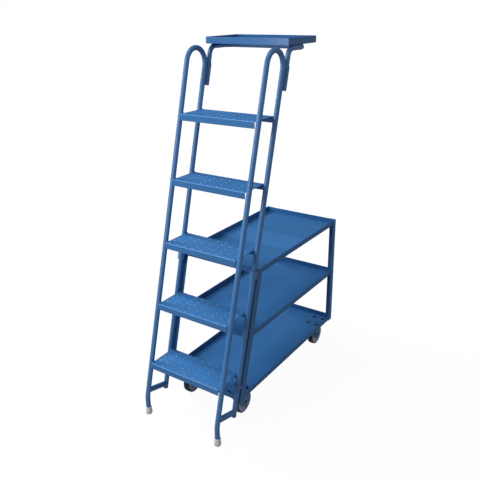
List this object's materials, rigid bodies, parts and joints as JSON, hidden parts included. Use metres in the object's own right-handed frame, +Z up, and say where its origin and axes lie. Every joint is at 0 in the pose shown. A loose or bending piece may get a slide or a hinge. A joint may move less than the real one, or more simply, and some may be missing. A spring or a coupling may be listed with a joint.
{
  "type": "stock picking ladder",
  "caption": "Wheeled stock cart of open pan shelves with a leaning tube-framed step ladder, hooped handrails and a writing tray at its top.",
  "frame": {"origin": "on the floor, in the middle of the machine's width and length", "axes": "+Z up, +X to the right of somebody climbing the ladder, +Y from the ladder at the front towards the rear of the cart"},
  "size_m": [0.4854, 1.2254, 1.864],
  "materials": {
    "blue_enamel": "semi-gloss blue powder coat",
    "bolt_steel": "zinc plated fasteners",
    "tyre_rubber": "dull black rubber",
    "wheel_centre": "matt blue-grey moulded centre",
    "tip_rubber": "light grey rubber"
  },
  "bodies": {
    "cart": {"bottom_shelf": "blue_enamel", "middle_shelf": "blue_enamel", "top_shelf": "blue_enamel", "front_post_left": "blue_enamel", "front_post_right": "blue_enamel", "rear_post_left": "blue_enamel", "rear_post_right": "blue_enamel", "lower_guide_left": "blue_enamel", "lower_guide_right": "blue_enamel", "upper_guide_left": "blue_enamel", "upper_guide_right": "blue_enamel", "front_plate_left": "blue_enamel", "front_plate_right": "blue_enamel", "rear_fork_left": "blue_enamel", "rear_fork_right": "blue_enamel", "rear_axle_left": "bolt_steel", "rear_axle_right": "bolt_steel"},
    "ladder": {"side_frame_left": "blue_enamel", "side_frame_right": "blue_enamel", "foot_brace_left": "blue_enamel", "foot_brace_right": "blue_enamel", "foot_tip_left": "tip_rubber", "foot_tip_right": "tip_rubber", "bracket_sleeve_left": "blue_enamel", "bracket_sleeve_right": "blue_enamel", "step_1": "blue_enamel", "step_2": "blue_enamel", "step_3": "blue_enamel", "step_4": "blue_enamel", "step_5": "blue_enamel", "tray_bracket": "blue_enamel", "tray": "blue_enamel"},
    "swivel_left": {"front_fork_left": "blue_enamel", "front_axle_left": "bolt_steel"},
    "front_wheel_left": {"front_tyre_left": "tyre_rubber", "front_hub_left": "wheel_centre"},
    "rear_wheel_left": {"rear_tyre_left": "tyre_rubber", "rear_hub_left": "wheel_centre"},
    "swivel_right": {"front_fork_right": "blue_enamel", "front_axle_right": "bolt_steel"},
    "front_wheel_right": {"front_tyre_right": "tyre_rubber", "front_hub_right": "wheel_centre"},
    "rear_wheel_right": {"rear_tyre_right": "tyre_rubber", "rear_hub_right": "wheel_centre"}
  },
  "joints": [
    {"name": "ladder_slide", "type": "slide", "parent": "cart", "child": "ladder", "axis": [0, 0.2605, 0.9655], "range_m": [-0.015, 0], "stiffness_N_per_m": 12000, "springref_m": 0.022},
    {"name": "swivel_turn_left", "type": "hinge", "parent": "cart", "child": "swivel_left", "pos_m": [-0.166, -0.33428, 0.14], "axis": [0, 0, 1], "continuous": true},
    {"name": "front_wheel_turn_left", "type": "hinge", "parent": "swivel_left", "child": "front_wheel_left", "pos_m": [-0.166, -0.29428, 0.0625], "axis": [1, 0, 0], "continuous": true},
    {"name": "rear_wheel_turn_left", "type": "hinge", "parent": "cart", "child": "rear_wheel_left", "pos_m": [-0.166, 0.52675, 0.0625], "axis": [1, 0, 0], "continuous": true},
    {"name": "swivel_turn_right", "type": "hinge", "parent": "cart", "child": "swivel_right", "pos_m": [0.166, -0.33428, 0.14], "axis": [0, 0, 1], "continuous": true},
    {"name": "front_wheel_turn_right", "type": "hinge", "parent": "swivel_right", "child": "front_wheel_right", "pos_m": [0.166, -0.29428, 0.0625], "axis": [1, 0, 0], "continuous": true},
    {"name": "rear_wheel_turn_right", "type": "hinge", "parent": "cart", "child": "rear_wheel_right", "pos_m": [0.166, 0.52675, 0.0625], "axis": [1, 0, 0], "continuous": true}
  ]
}
